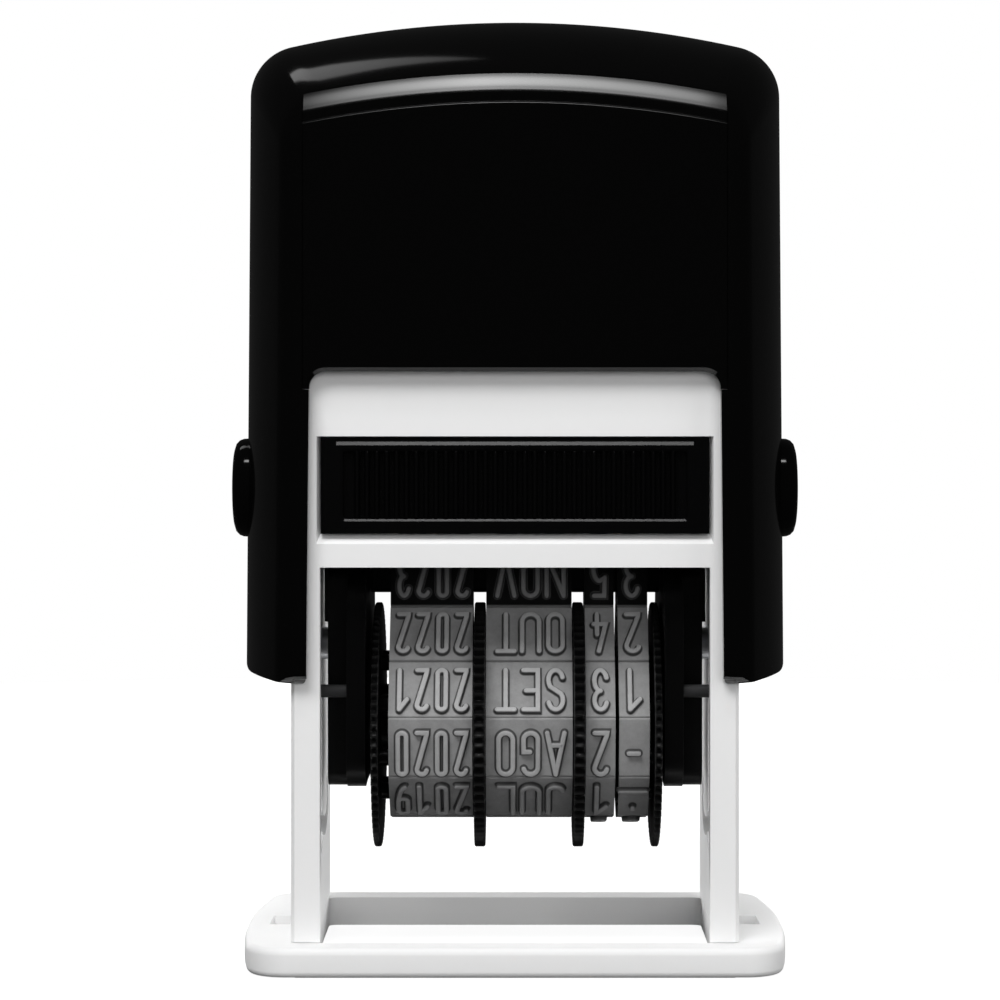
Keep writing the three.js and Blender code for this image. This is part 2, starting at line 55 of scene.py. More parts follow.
# cut into the base beside its window on both sides: (near x, far x, front, back, floor)
TENON_POCKET, SIDE_SLOT = (17.33, 18.47, -8.12, 8.12, 0.8), (19.4, 21.1, -3.2, 1.4, 0.9)
WINDOW_X, WINDOW_FRONT, WINDOW_BACK = 16.9, -12.8, 11.8
BAY_SILL, BAY_LINTEL, LIP_X, WEB_X = 36.4, 44.45, 16.2, 16.9
TRAY_X, TRAY_Y, TRAY_LOW, TRAY_HIGH = 15.9, 12.9, 36.7, 44.15
FLANGE_X, FLANGE_LOW, FLANGE_HIGH, FLANGE_HIGH_REAR = 16.1, 36.47, 44.48, 44.38
HOLLOW_X, HOLLOW_Y, HOLLOW_HIGH = 14.7, 11.2, 42.95
GRIP_X, GRIP_LOW, GRIP_HIGH = 14.3, 37.68, 43.3
RIBS, RIB_PITCH, RIB_HALF, RIB_RISE, RIB_FOOT = 33, 0.82, 0.24, 0.5, 12.38
RIB_LOW, RIB_HIGH, RIB_END = 37.8, 43.2, 0.22
AXLE_Z, DISC_R, DISC_TEETH, TOOTH_DEPTH = 19.45, 10.6, 76, 0.36
DRUM_R, HUB_R, BORE_R, PEGS, PEG_R, PEGS_AT = 6.8, 2.6, 1.5, 8, 0.7, 6
BAND_R, BRIDGE_Y, BRIDGE_LOW, BAND_FACE = 8.4, 3.1, 29.9, 35.8
TYPE_MOST, TYPE_MARGIN, TYPE_STROKE = 4.2, 0.6, 0.62

# each date column along X: its toothed disc, its drum and its rubber band
COLUMNS = {
    "year": ((-12.15, -11.55), (-10.6, -3.6), (-10.74, -3.6)),
    "month": ((-3.5, -2.56), (-2.5, 4.9), (-2.5, 4.9)),
    "day_units": ((5.0, 5.9), (5.98, 8.5), (5.98, 8.52)),
    "day_tens": ((11.8, 12.4), (8.75, 11.45), (8.8, 11.42)),
}


# ------------------------------------------------------------------ mesh helpers
def make_object(name, verts, faces, smooth=True):
    mesh = bpy.data.meshes.new(name)
    mesh.from_pydata([(x * MM, y * MM, z * MM) for x, y, z in verts], [], faces)
    mesh.validate()
    bm = bmesh.new()
    bm.from_mesh(mesh)
    bmesh.ops.recalc_face_normals(bm, faces=bm.faces)
    bm.to_mesh(mesh)
    bm.free()
    obj = bpy.data.objects.new(name, mesh)
    bpy.context.scene.collection.objects.link(obj)
    if smooth:
        mesh.shade_smooth()
    return obj


def apply_modifiers(obj):
    graph = bpy.context.evaluated_depsgraph_get()
    made = bpy.data.meshes.new_from_object(obj.evaluated_get(graph))
    obj.modifiers.clear()
    old = obj.data
    obj.data = made
    bpy.data.meshes.remove(old)
    return obj


def boolean(obj, other, operation):
    mod = obj.modifiers.new("cut", "BOOLEAN")
    mod.operation = operation
    mod.solver = "EXACT"
    mod.object = other
    apply_modifiers(obj)
    bpy.data.objects.remove(other, do_unlink=True)
    return obj


def soften(obj, width, angle=32, segments=2, sharp=38):
    """Rounds edges sharper than an angle, and shades the rest smooth, with flat faces kept flat."""
    if width:
        mod = obj.modifiers.new("bevel", "BEVEL")
        mod.width = width * MM
        mod.segments = segments
        mod.limit_method = "ANGLE"
        mod.angle_limit = math.radians(angle)
        mod.use_clamp_overlap = True
        mod.miter_outer = "MITER_ARC"
        apply_modifiers(obj)
    obj.data.shade_smooth()
    obj.data.set_sharp_from_angle(angle=math.radians(sharp))
    mod = obj.modifiers.new("normals", "WEIGHTED_NORMAL")
    mod.keep_sharp = True
    mod.weight = 100
    return apply_modifiers(obj)


def refine(node, name, width, angle=32, segments=2):
    """A copy of a CAD node's solid with its flat faces whole again and its edges rounded."""
    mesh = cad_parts[node].data.copy()
    mesh.materials.clear()
    bm = bmesh.new()
    bm.from_mesh(mesh)
    bmesh.ops.remove_doubles(bm, verts=bm.verts, dist=2e-6)
    bmesh.ops.dissolve_limit(
        bm,
        angle_limit=math.radians(1),
        verts=bm.verts,
        edges=bm.edges,
        use_dissolve_boundaries=False,
    )
    bm.to_mesh(mesh)
    bm.free()
    if mesh.has_custom_normals:
        mesh.attributes.remove(mesh.attributes["custom_normal"])
    obj = bpy.data.objects.new(name, mesh)
    bpy.context.scene.collection.objects.link(obj)
    return soften(obj, width, angle, segments)


def loft(name, rings):
    count = len(rings[0])
    verts = [p for ring in rings for p in ring]
    faces = []
    for i in range(len(rings) - 1):
        for k in range(count):
            a, b = i * count + k, i * count + (k + 1) % count
            faces.append((a, b, b + count, a + count))
    faces.append(tuple(range(count))[::-1])
    faces.append(tuple((len(rings) - 1) * count + k for k in range(count)))
    return make_object(name, verts, faces)


def prism(name, axis, outline, lo, hi):
    """An outline pushed along an axis: (y, z) for x, (x, z) for y, (x, y) for z."""
    place = {
        "x": lambda p, d: (d, p[0], p[1]),
        "y": lambda p, d: (p[0], d, p[1]),
        "z": lambda p, d: (p[0], p[1], d),
    }[axis]
    return loft(name, [[place(p, d) for p in outline] for d in (lo, hi)])


def box(x0, x1, y0, y1, z0, z1):
    return prism("box", "z", [(x0, y0), (x1, y0), (x1, y1), (x0, y1)], z0, z1)


def arc(cx, cy, r, a0, a1, steps):
    out = []
    for i in range(steps + 1):
        a = math.radians(a0 + (a1 - a0) * i / steps)
        out.append((cx + r * math.cos(a), cy + r * math.sin(a)))
    return out


def rounded_box(x0, x1, y0, y1, r, steps):
    return (
        arc(x1 - r, y1 - r, r, 0, 90, steps)
        + arc(x0 + r, y1 - r, r, 90, 180, steps)
        + arc(x0 + r, y0 + r, r, 180, 270, steps)
        + arc(x1 - r, y0 + r, r, 270, 360, steps)
    )


def mirrored(points):
    return [(-x, y) for x, y in reversed(points)]


def inset(y, half, barrel, edge):
    past = max(0.0, abs(y) - (half - edge))
    return barrel * y * y + edge - math.sqrt(max(0.0, edge * edge - past * past))


def stations(half, edge, middle, rounded):
    front = [-half + edge * (1 - math.cos(i / rounded * math.pi / 2)) for i in range(rounded)]
    flat = [(half - edge) * (2 * i / middle - 1) for i in range(middle + 1)]
    return front + flat + [-y for y in reversed(front)]


def between(value, start, end):
    return min(1.0, max(0.0, (value - start) / (end - start)))


# A per-point tone that paints light: shade on the bands' bridge and round the foot of the type,
# darkening towards the bottom of the loop, and a highlight on the wheels' tooth tips.
def tone_points(obj, tones):
    layer = obj.data.color_attributes.new("painted_light", "FLOAT_COLOR", "POINT")
    for value, tone in zip(layer.data, tones):
        value.color = (tone, tone, tone, 1)


def finish_piece(obj, body, slot, material, *nodes):
    obj.data.materials.clear()
    obj.data.materials.append(material)
    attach(obj, body)
    if nodes:
        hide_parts(*nodes)
    return obj


# ------------------------------------------------------------------ materials
def plastic(name, color, roughness, bump, scale, level=0.5, scatter=0.0):
    """Moulded plastic: fine surface texture, slow waviness and a little change in roughness."""
    mat = bpy.data.materials.new(name)
    mat.use_nodes = True
    tree = mat.node_tree
    shader = tree.nodes["Principled BSDF"]
    shader.inputs["Base Color"].default_value = (*color, 1)
    shader.inputs["Specular IOR Level"].default_value = level
    shader.inputs["Subsurface Weight"].default_value = scatter
    shader.inputs["Subsurface Scale"].default_value = 0.0015
    shader.inputs["Subsurface Radius"].default_value = (1.0, 0.95, 0.9)
    coords = tree.nodes.new("ShaderNodeTexCoord")
    fine = tree.nodes.new("ShaderNodeTexNoise")
    fine.inputs["Scale"].default_value = scale
    fine.inputs["Detail"].default_value = 5
    wide = tree.nodes.new("ShaderNodeTexNoise")
    wide.inputs["Scale"].default_value = scale / 22
    wide.inputs["Detail"].default_value = 3
    tree.links.new(coords.outputs["Object"], fine.inputs["Vector"])
    tree.links.new(coords.outputs["Object"], wide.inputs["Vector"])
    rough = tree.nodes.new("ShaderNodeMapRange")
    rough.inputs["To Min"].default_value = roughness * 0.9
    rough.inputs["To Max"].default_value = roughness * 1.1
    tree.links.new(wide.outputs["Fac"], rough.inputs["Value"])
    tree.links.new(rough.outputs["Result"], shader.inputs["Roughness"])
    first = tree.nodes.new("ShaderNodeBump")
    first.inputs["Strength"].default_value = bump
    first.inputs["Distance"].default_value = 0.00004
    tree.links.new(fine.outputs["Fac"], first.inputs["Height"])
    second = tree.nodes.new("ShaderNodeBump")
    second.inputs["Strength"].default_value = bump * 0.5
    second.inputs["Distance"].default_value = 0.0002
    tree.links.new(wide.outputs["Fac"], second.inputs["Height"])
    tree.links.new(first.outputs["Normal"], second.inputs["Normal"])
    tree.links.new(second.outputs["Normal"], shader.inputs["Normal"])
    return mat


def rubber(name, dark, light, roughness, with_painted_shade=False):
    """Moulded rubber: uneven grey, fine grain. A piece with painted shade has its colour multiplied
    by its per-point tone.
    """
    mat = bpy.data.materials.new(name)
    mat.use_nodes = True
    tree = mat.node_tree
    shader = tree.nodes["Principled BSDF"]
    shader.inputs["Roughness"].default_value = roughness
    shader.inputs["Specular IOR Level"].default_value = 0.35
    coords = tree.nodes.new("ShaderNodeTexCoord")
    cloud = tree.nodes.new("ShaderNodeTexNoise")
    cloud.inputs["Scale"].default_value = 900
    cloud.inputs["Detail"].default_value = 6
    cloud.inputs["Roughness"].default_value = 0.7
    ramp = tree.nodes.new("ShaderNodeValToRGB")
    ramp.color_ramp.elements[0].position = 0.3
    ramp.color_ramp.elements[0].color = (*dark, 1)
    ramp.color_ramp.elements[1].position = 0.72
    ramp.color_ramp.elements[1].color = (*light, 1)
    grain = tree.nodes.new("ShaderNodeTexNoise")
    grain.inputs["Scale"].default_value = 5200
    grain.inputs["Detail"].default_value = 3
    bump = tree.nodes.new("ShaderNodeBump")
    bump.inputs["Strength"].default_value = 0.3
    bump.inputs["Distance"].default_value = 0.00004
    tree.links.new(coords.outputs["Object"], cloud.inputs["Vector"])
    tree.links.new(coords.outputs["Object"], grain.inputs["Vector"])
    tree.links.new(cloud.outputs["Fac"], ramp.inputs["Fac"])
    tree.links.new(grain.outputs["Fac"], bump.inputs["Height"])
    tree.links.new(bump.outputs["Normal"], shader.inputs["Normal"])
    if not with_painted_shade:
        tree.links.new(ramp.outputs["Color"], shader.inputs["Base Color"])
        return mat
    # painted shade: the colour is multiplied by the per-point tone
    painted_light = tree.nodes.new("ShaderNodeAttribute")
    painted_light.attribute_name = "painted_light"
    shade_multiply = tree.nodes.new("ShaderNodeMix")
    shade_multiply.data_type = "RGBA"
    shade_multiply.blend_type = "MULTIPLY"
    shade_multiply.inputs["Factor"].default_value = 1
    tree.links.new(ramp.outputs["Color"], shade_multiply.inputs["A"])
    tree.links.new(painted_light.outputs["Color"], shade_multiply.inputs["B"])
    tree.links.new(shade_multiply.outputs["Result"], shader.inputs["Base Color"])
    return mat


def painted_highlight_copy(name, base, light):
    """A copy of a plastic that turns lighter where its per-point tone is high, as a painted
    highlight.
    """
    mat = base.copy()
    mat.name = name
    tree = mat.node_tree
    painted_light = tree.nodes.new("ShaderNodeAttribute")
    painted_light.attribute_name = "painted_light"
    mix = tree.nodes.new("ShaderNodeMix")
    mix.data_type = "RGBA"
    mix.inputs["A"].default_value = tree.nodes["Principled BSDF"].inputs["Base Color"].default_value
    mix.inputs["B"].default_value = (*light, 1)
    tree.links.new(painted_light.outputs["Fac"], mix.inputs["Factor"])
    tree.links.new(mix.outputs["Result"], tree.nodes["Principled BSDF"].inputs["Base Color"])
    return mat


def steel(name):
    mat = plastic(name, (0.6, 0.61, 0.63), 0.28, 0.2, 3000)
    mat.node_tree.nodes["Principled BSDF"].inputs["Metallic"].default_value = 1.0
    return mat


GLOSS = plastic("black_gloss_moulding", (0.001, 0.001, 0.001), 0.085, 0.012, 700, level=0.4)
SATIN = plastic("black_satin_moulding", (0.0016, 0.0016, 0.0017), 0.36, 0.15, 2600, level=0.28)
SHEEN = plastic("black_sheen_moulding", (0.0014, 0.0014, 0.0015), 0.25, 0.2, 1500, level=0.34)
WHITE_COLOR = (0.82, 0.82, 0.82)
WHITE = plastic("white_satin_moulding", WHITE_COLOR, 0.45, 0.1, 2200, level=0.35, scatter=0.08)
# The date rubber and the raised type get painted shade from their per-point tone.
RUBBER = rubber("grey_date_rubber", (0.24, 0.24, 0.241), (0.32, 0.32, 0.321), 0.6, with_painted_shade=True)
TYPE = rubber("raised_type_rubber", (0.36, 0.36, 0.362), (0.44, 0.44, 0.442), 0.55, with_painted_shade=True)
PIN = plastic("dark_pin_moulding", (0.03, 0.03, 0.031), 0.4, 0.1, 2600, level=0.35)
FELT = rubber("ink_soaked_felt", (0.008, 0.008, 0.012), (0.02, 0.02, 0.028), 0.95)
STEEL = steel("drawn_steel")
# The wheels' satin, with the tips of the teeth painted lighter as a painted highlight.
TOOTH_TIP_HIGHLIGHT = painted_highlight_copy("satin_moulding_painted_highlight", SATIN, (0.008, 0.008, 0.008))


# ------------------------------------------------------------------ cap
def cap_outline(side_in, top_in, bottom):
    r = CAP_SHOULDER
    low, high = CAP_HALF_X - side_in, CAP_HALF_X_TOP - side_in
    centre = CAP_TOP - top_in - CAP_ARCH
    x = high - r
    z = centre + math.sqrt((CAP_ARCH - r) ** 2 - x * x)
    lean = math.degrees(math.atan2(z - centre, x))
    side = [(low + (high - low) * i / 12, bottom + (z - bottom) * i / 12) for i in range(12)]
    shoulder = arc(x, z, r, 0, lean, 22)
    crown = arc(0, centre, CAP_ARCH, lean, 90, 30)[1:]
    right = side + shoulder + crown
    return right + mirrored(right)[1:]


def cap_form(name, wall, bottom, barrel=SIDE_BARREL, edge=CAP_EDGE, middle=44, rounded=9):
    half = CAP_HALF_Y - wall
    rings = []
    for y in stations(half, edge, middle, rounded):
        side_in = wall + inset(y, half, barrel, edge)
        top_in = wall + inset(y, half, TOP_BARREL, edge)
        rings.append([(x, y, z) for x, z in cap_outline(side_in, top_in, bottom)])
    return loft(name, rings)


def crown_line(half, top):
    centre = top - CAP_ARCH
    lean = math.degrees(math.acos(half / CAP_ARCH))
    return arc(0, centre, CAP_ARCH, lean, 180 - lean, 40)


def wall_opening():
    x = PANEL_HALF + 0.06
    low = [(CUT_HALF_LOW, CAP_BOTTOM - 3), (CUT_HALF, PANEL_LOW - 0.06), (x, PANEL_LOW - 0.06)]
    crown = [p for p in crown_line(x, FACET_TOP + 0.05) if abs(p[0]) < x - 1.1]
    end = crown_line(x, FACET_TOP + 0.05)[0][1]
    corner = [(x, end - 0.9), (x - 0.08, end - 0.55), (x - 0.32, end - 0.22), (x - 0.7, end)]
    return low + corner + crown + mirrored(corner) + mirrored(low)


def arm_outline():
    """The cap's outline seen from the front, where the foot of each arm slopes and is rounded."""
    inner = arc(CUT_HALF_LOW + 0.55, CAP_BOTTOM + 0.5, 0.5, 180, 270, 6)
    outer = arc(CAP_HALF_X - 0.95, CAP_BOTTOM + 1.45, 0.95, -84, 0, 10)
    right = inner + outer + [(CAP_HALF_X + 1, CAP_BOTTOM + 3), (CAP_HALF_X + 1, CAP_TOP + 1)]
    return right + mirrored(right)


def build_cap_shell():
    shell = cap_form("cap_shell_moulding", 0, CAP_BOTTOM)
    hollow = cap_form("hollow", CAP_WALL, CAP_BOTTOM - 2, INNER_BARREL, 0.3, 20, 2)
    shell = boolean(shell, hollow, "DIFFERENCE")
    for face in (-1, 1):
        lo, hi = sorted((face * (CAP_HALF_Y - CAP_WALL - 0.6), face * (CAP_HALF_Y + 1)))
        shell = boolean(shell, prism("opening", "y", wall_opening(), lo, hi), "DIFFERENCE")
    shell = boolean(shell, prism("arms", "y", arm_outline(), -20, 20), "INTERSECT")
    feet = rounded_box(-CAP_HALF_Y - 0.3, CAP_HALF_Y + 0.3, CAP_BOTTOM - 0.05, CAP_TOP + 9, 2.2, 8)
    shell = boolean(shell, prism("feet", "x", feet, -30, 30), "INTERSECT")
    for side in (-1, 1):
        lo, hi = sorted((19 * side, 26 * side))
        hole = arc(0, BUTTON_Z, BUTTON_R + 0.16, 0, 360, 64)[:-1]
        shell = boolean(shell, prism("hole", "x", hole, lo, hi), "DIFFERENCE")
    return soften(shell, 0.2, angle=40, segments=3, sharp=50)


# The plate's top as (y, z) in the middle of the arch: a rounded ledge, a step back, a small bump,
# and then a facet that slopes to the dome. The facet bulges by FACET_BULGE in its middle.
FACET_BULGE = 0.015
FACET = []
for step in range(1, 8):
    t = step / 8
    out = FACET_BULGE * 4 * t * (1 - t)
    FACET.append((-14.2 + 0.88 * t - 0.87 * out, FACET_TOP - 1.56 * (1 - t) + 0.49 * out))
PLATE_TOP = (
    arc(-CAP_HALF_Y + 0.34, FACET_TOP - 2.7, 0.34, 180, 110, 7)
    + [(-14.25, FACET_TOP - 2.34), (-14.25, FACET_TOP - 1.72)]
    + arc(-13.95, FACET_TOP - 1.72, 0.3, 180, 153, 4)
    + FACET
    + [(-13.32, FACET_TOP), (-13.2, FACET_TOP - 0.02)]
)


def build_cap_plate(name, face):
    """The arched plate: a flat face, a fine rounded ledge, then the sloping facet at the top."""
    columns, rings = 72, []
    for i in range(columns + 1):
        x = PANEL_HALF * (2 * i / columns - 1)
        drop = math.sqrt(CAP_ARCH**2 - x * x) - CAP_ARCH
        front = [(-CAP_HALF_Y, PANEL_LOW)] + [(y, z + drop) for y, z in PLATE_TOP]
        back = [(-12.8, FACET_TOP - 0.6 + drop), (-13.15, FACET_TOP - 3 + drop)]
        back.append((-13.15, PANEL_LOW))
        rings.append([(x, -y * face, z) for y, z in front + back])
    plate = loft(name, rings)
    near, far = -CAP_HALF_Y * 1.001, -CAP_HALF_Y + 0.34
    cutter = []
    for y, grow in ((near, 0.34), (far, 0.0), (-12, 0.0)):
        ring = rounded_box(-CUT_HALF - grow, CUT_HALF + grow, 20, CUT_TOP + grow, 1.4 + grow, 10)
        cutter.append([(x, -y * face, z) for x, z in ring])
    plate = boolean(plate, loft("cut", cutter), "DIFFERENCE")
    for side in (-1, 1):
        for x0, x1, depth in ((17.2, 17.45, 13.3), (17.4, 17.85, 13.12)):
            lo, hi = sorted((x0 * side, x1 * side))
            back, front = sorted((13.02 * face, depth * face))
            lip = box(lo, hi, back, front, PANEL_LOW, FACET_TOP - 4)
            plate = boolean(plate, lip, "UNION")
    return soften(plate, 0, sharp=30)


finish_piece(build_cap_shell(), "cap", "black_gloss_plastic", GLOSS, "cap_shell")
for word, face in (("front", -1), ("rear", 1)):
    plate = build_cap_plate("cap_%s_plate" % word, face)
    finish_piece(plate, "cap", "black_gloss_plastic", GLOSS, "cap_%s_panel" % word)
post = refine("spring_guide_post", "spring_post", 0.3)
finish_piece(post, "cap", "black_gloss_plastic", GLOSS, "spring_guide_post")


def build_button(side):
    """A round push button with a softly domed rim, turned about the X axis."""
    profile = [(0.0, 24.45), (2.4, 24.43), (3.4, 24.36), (3.85, 24.22), (4.13, 23.95), (4.26, 23.6)]
    profile += [(BUTTON_R, 23.2), (BUTTON_R, 21.3), (5.1, 21.2), (5.1, 20.5), (1.5, 20.5)]
    profile += [(1.5, 19.95), (0.0, 19.95)]
    count, verts, faces = 72, [], []
    for r, x in profile:
        for k in range(count):
            a = 2 * math.pi * k / count
            reach = max(r, 0.001)
            verts.append((x * side, reach * math.cos(a), BUTTON_Z + reach * math.sin(a)))
    for i in range(len(profile) - 1):
        for k in range(count):
            a, b = i * count + k, i * count + (k + 1) % count
            faces.append((a, b, b + count, a + count))
    return make_object("side_button_%s" % ("left" if side < 0 else "right"), verts, faces)


for side, word in ((-1, "left"), (1, "right")):
    button = soften(build_button(side), 0, sharp=42)
    finish_piece(button, word + "_button", "black_gloss_plastic", GLOSS, "lock_button_" + word)


# ------------------------------------------------------------------ base and frame
def base_outline(inward):
    half, corner = BASE_Y - inward, BASE_CORNER - inward
    rows = stations(half, corner, 30, 14)
    side = [(BASE_X - inward - inset(y, half, BASE_BARREL, corner), y) for y in rows]
    return side + mirrored(side)


def build_base():
    levels = [(0.0, 0.55), (0.03, 0.4), (0.12, 0.22), (0.3, 0.08), (0.55, 0.0), (1.85, 0.0)]
    levels += [(2.1, 0.05), (2.3, 0.16), (2.42, 0.3), (2.48, 0.44), (2.5, 0.62)]
    body = loft("base_ring", [[(x, y, z) for x, y in base_outline(i)] for z, i in levels])
    ends = rounded_box(-BASE_X + 0.2, BASE_X - 0.2, 0.06, 9, 1.6, 10)
    for side in (-1, 1):
        # the ends of the base are rounded underneath, and meet the straight middle at a fine line
        lo, hi = sorted((18.1 * side, 24 * side))
        blank = box(lo, hi, -16, 16, -1, 4)
        blank = boolean(blank, prism("ends", "y", ends, -20, 20), "DIFFERENCE")
        body = boolean(body, blank, "DIFFERENCE")
    hole = rounded_box(-WINDOW_X, WINDOW_X, WINDOW_FRONT, WINDOW_BACK, 0.8, 8)
    body = boolean(body, prism("hole", "z", hole, -1, 4), "DIFFERENCE")
    for side in (-1, 1):
        for near, far, front, back, low in (TENON_POCKET, SIDE_SLOT):
            lo, hi = sorted((near * side, far * side))
            body = boolean(body, box(lo, hi, front, back, low, 4), "DIFFERENCE")
    return soften(body, 0.14, angle=50, segments=3, sharp=50)


def build_frame():
    """The frame, with the front and back edges of the cartridge bay sloped."""
    body = refine("frame_housing", "frame_moulding", 0)
    # distance from the middle, and how far the bay opens there at its sides, sill and lintel
    slope = ((13.0, 0.3, 0.85, 0.12), (12.9, 0.28, 0.78, 0.1), (12.05, 0, 0, 0), (11, 0, 0, 0))
    for face in (-1, 1):
        rings = []
        half = LIP_X if face < 0 else WEB_X
        for y, side, down, up in slope:
            x, low, high = half + side, BAY_SILL - down, BAY_LINTEL + up
            ring = [(-x, low), (x, low), (x, high), (-x, high)]
            rings.append([(x, face * y, z) for x, z in ring])
        body = boolean(body, loft("slope", rings), "DIFFERENCE")
    return soften(body, 0.13, 40, 3)


finish_piece(build_base(), "frame", "white_plastic", WHITE, "base_foot")
finish_piece(build_frame(), "frame", "white_plastic", WHITE, "frame_housing")
spring = refine("return_spring", "coil_spring", 0)
finish_piece(spring, "frame", "spring_steel", STEEL, "return_spring")
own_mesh(spring)


def build_tray():
    """The ink tray: flanged ends with a rimmed grip recess in each, and an open underside."""
    tray = box(-TRAY_X, TRAY_X, -TRAY_Y, TRAY_Y, TRAY_LOW, TRAY_HIGH)
    for face in (-1, 1):
        near, far = sorted(((TRAY_Y - 0.6) * face, TRAY_Y * face))
        top = FLANGE_HIGH if face < 0 else FLANGE_HIGH_REAR
        tray = boolean(tray, box(-FLANGE_X, FLANGE_X, near, far, FLANGE_LOW, top), "UNION")
    hollow = box(-HOLLOW_X, HOLLOW_X, -HOLLOW_Y, HOLLOW_Y, 35, HOLLOW_HIGH)
    tray = boolean(tray, hollow, "DIFFERENCE")
    for side in (-1, 1):
        # the groove for the frame's runner, open at the rear
        lo, hi = sorted((15 * side, 17 * side))
        tray = boolean(tray, box(lo, hi, -11.9, 14, 40, 41.6), "DIFFERENCE")
    for face in (-1, 1):
        rings = []
        for y, grow in ((13.08, 0.48), (12.9, 0.2), (12.77, 0.0), (12.2, 0.0)):
            x, low, high = GRIP_X + grow, GRIP_LOW - grow, GRIP_HIGH + grow
            ring = rounded_box(-x, x, low, high, 0.3, 5)
            rings.append([(x, face * y, z) for x, z in ring])
        tray = boolean(tray, loft("recess", rings), "DIFFERENCE")
        step = [(13.2, 43.8), (12.9, 43.8), (12.65, 44.18), (12.65, 44.6), (13.2, 44.6)]
        step = [(face * y, z) for y, z in step]
        tray = boolean(tray, prism("step", "x", step, -14.85, 14.85), "DIFFERENCE")
    return soften(tray, 0.04, 25, 2, sharp=28)


def build_grip_ribs():
    """The rounded ribs in each grip recess: half-round bars that taper to nothing at both ends."""
    verts, faces, around, rows = [], [], 8, 5
    for face in (-1, 1):
        for i in range(RIBS):
            middle = (i - RIBS // 2) * RIB_PITCH
            stack = []
            for k in range(rows):
                a = math.pi / 2 * k / (rows - 1)
                stack.append((RIB_LOW - RIB_END * math.cos(a), math.sin(a)))
            stack += [(RIB_HIGH + (RIB_LOW - z), share) for z, share in reversed(stack)]
            base = len(verts)
            for z, share in stack:
                for k in range(around + 1):
                    a = math.pi * k / around
                    x = middle + RIB_HALF * math.cos(a) * max(share, 0.02)
                    y = RIB_FOOT + RIB_RISE * math.sin(a) * max(share, 0.02)
                    verts.append((x, face * y, z))
            ring = around + 1
            for r in range(len(stack) - 1):
                for k in range(ring):
                    a, b = base + r * ring + k, base + r * ring + (k + 1) % ring
                    faces.append((a, b, b + ring, a + ring))
            faces.append(tuple(base + k for k in range(ring)))
            faces.append(tuple(base + (len(stack) - 1) * ring + k for k in range(ring)))
    return make_object("grip_ribs", verts, faces)


finish_piece(build_tray(), "cartridge", "black_satin_plastic", SHEEN, "ink_cartridge_tray")
finish_piece(soften(build_grip_ribs(), 0, sharp=60), "cartridge", "black_satin_plastic", SHEEN)
pad = refine("ink_pad", "ink_felt_block", 0.4, 40, 3)
finish_piece(pad, "cartridge", "ink_felt", FELT, "ink_pad")

# ------------------------------------------------------------------ carriage
for word in ("left", "right"):
    cheek = refine("carriage_cheek_" + word, "cheek_" + word, 0.2, 40, 3)
    finish_piece(cheek, "carriage", "black_satin_plastic", SATIN, "carriage_cheek_" + word)
    pins = (("pivot_pin_", "spring_steel", STEEL), ("guide_pin_", "black_satin_plastic", PIN))
    for pin, slot, look in pins:
        bar = refine(pin + word, pin + "bar_" + word, 0.12, 40, 2)
        finish_piece(bar, "carriage", slot, look, pin + word)
bridge = refine("type_bridge", "type_backing_bar", 0.1, 40, 2)
finish_piece(bridge, "carriage", "black_satin_plastic", SATIN, "type_bridge")
axle = refine("wheel_axle", "axle_rod", 0.2, 40, 2)
finish_piece(axle, "carriage", "spring_steel", STEEL, "wheel_axle")


def build_disc(name, x0, x1):
    """A thin toothed disc with rounded teeth and broken edges."""
    around = DISC_TEETH * 8
    layers = [(x0, 0.14), (x0 + 0.05, 0.05), (x0 + 0.13, 0)]
    layers += [(x1 - 0.13, 0), (x1 - 0.05, 0.05), (x1, 0.14)]
    rings = []
    for x, inward in layers:
        ring = []
        for k in range(around):
            a = 2 * math.pi * k / around
            wave = 0.5 - 0.5 * math.cos(DISC_TEETH * a)
            r = DISC_R - TOOTH_DEPTH * wave ** 0.8 - inward
            ring.append((x, r * math.cos(a), AXLE_Z + r * math.sin(a)))
        rings.append(ring)
    return loft(name, rings)


def build_wheel(name, disc, drum):
    wheel = build_disc(name, *disc)
    lo, hi = min(disc[0], drum[0]) + 0.1, max(disc[1], drum[1]) - 0.1
    pieces = [prism("drum", "x", arc(0, AXLE_Z, DRUM_R, 0, 360, 60)[:-1], *drum)]
    pieces.append(prism("hub", "x", arc(0, AXLE_Z, HUB_R, 0, 360, 32)[:-1], lo, hi))
    for i in range(PEGS):
        a = i / PEGS * 2 * math.pi + 0.4
        ring = arc(PEGS_AT * math.cos(a), AXLE_Z + PEGS_AT * math.sin(a), PEG_R, 0, 360, 14)[:-1]
        pieces.append(prism("peg", "x", ring, lo, hi))
    for piece in pieces:
        wheel = boolean(wheel, piece, "UNION")
    bore = arc(0, AXLE_Z, BORE_R, 0, 360, 32)[:-1]
    wheel = boolean(wheel, prism("bore", "x", bore, -20, 20), "DIFFERENCE")
    wheel = soften(wheel, 0, sharp=35)
    # painted highlight: the tooth tips, past a radius of 10.4 mm, turn lighter in colour
    radii = [math.hypot(v.co.y / MM, v.co.z / MM - AXLE_Z) for v in wheel.data.vertices]
    tone_points(wheel, [between(r, 10.4, 10.55) for r in radii])
    return wheel


for word, (disc, drum, band) in COLUMNS.items():
    wheel = build_wheel(word + "_toothed_wheel", disc, drum)
    finish_piece(wheel, word + "_wheel", "black_satin_plastic", TOOTH_TIP_HIGHLIGHT, word + "_thumbwheel")


# ------------------------------------------------------------------ date characters, as strokes
def ellipse(cx, cy, rx, ry, a0, a1, steps=16):
    out = []
    for i in range(steps + 1):
        a = math.radians(a0 + (a1 - a0) * i / steps)
        out.append((cx + rx * math.cos(a), cy + ry * math.sin(a)))
    return out


def oval(w, h0=0.0, h1=1.0):
    r = min(w / 2, (h1 - h0) / 2)
    top = ellipse(w / 2, h1 - r, w / 2, r, 0, 180)
    return top + ellipse(w / 2, h0 + r, w / 2, r, 180, 360)


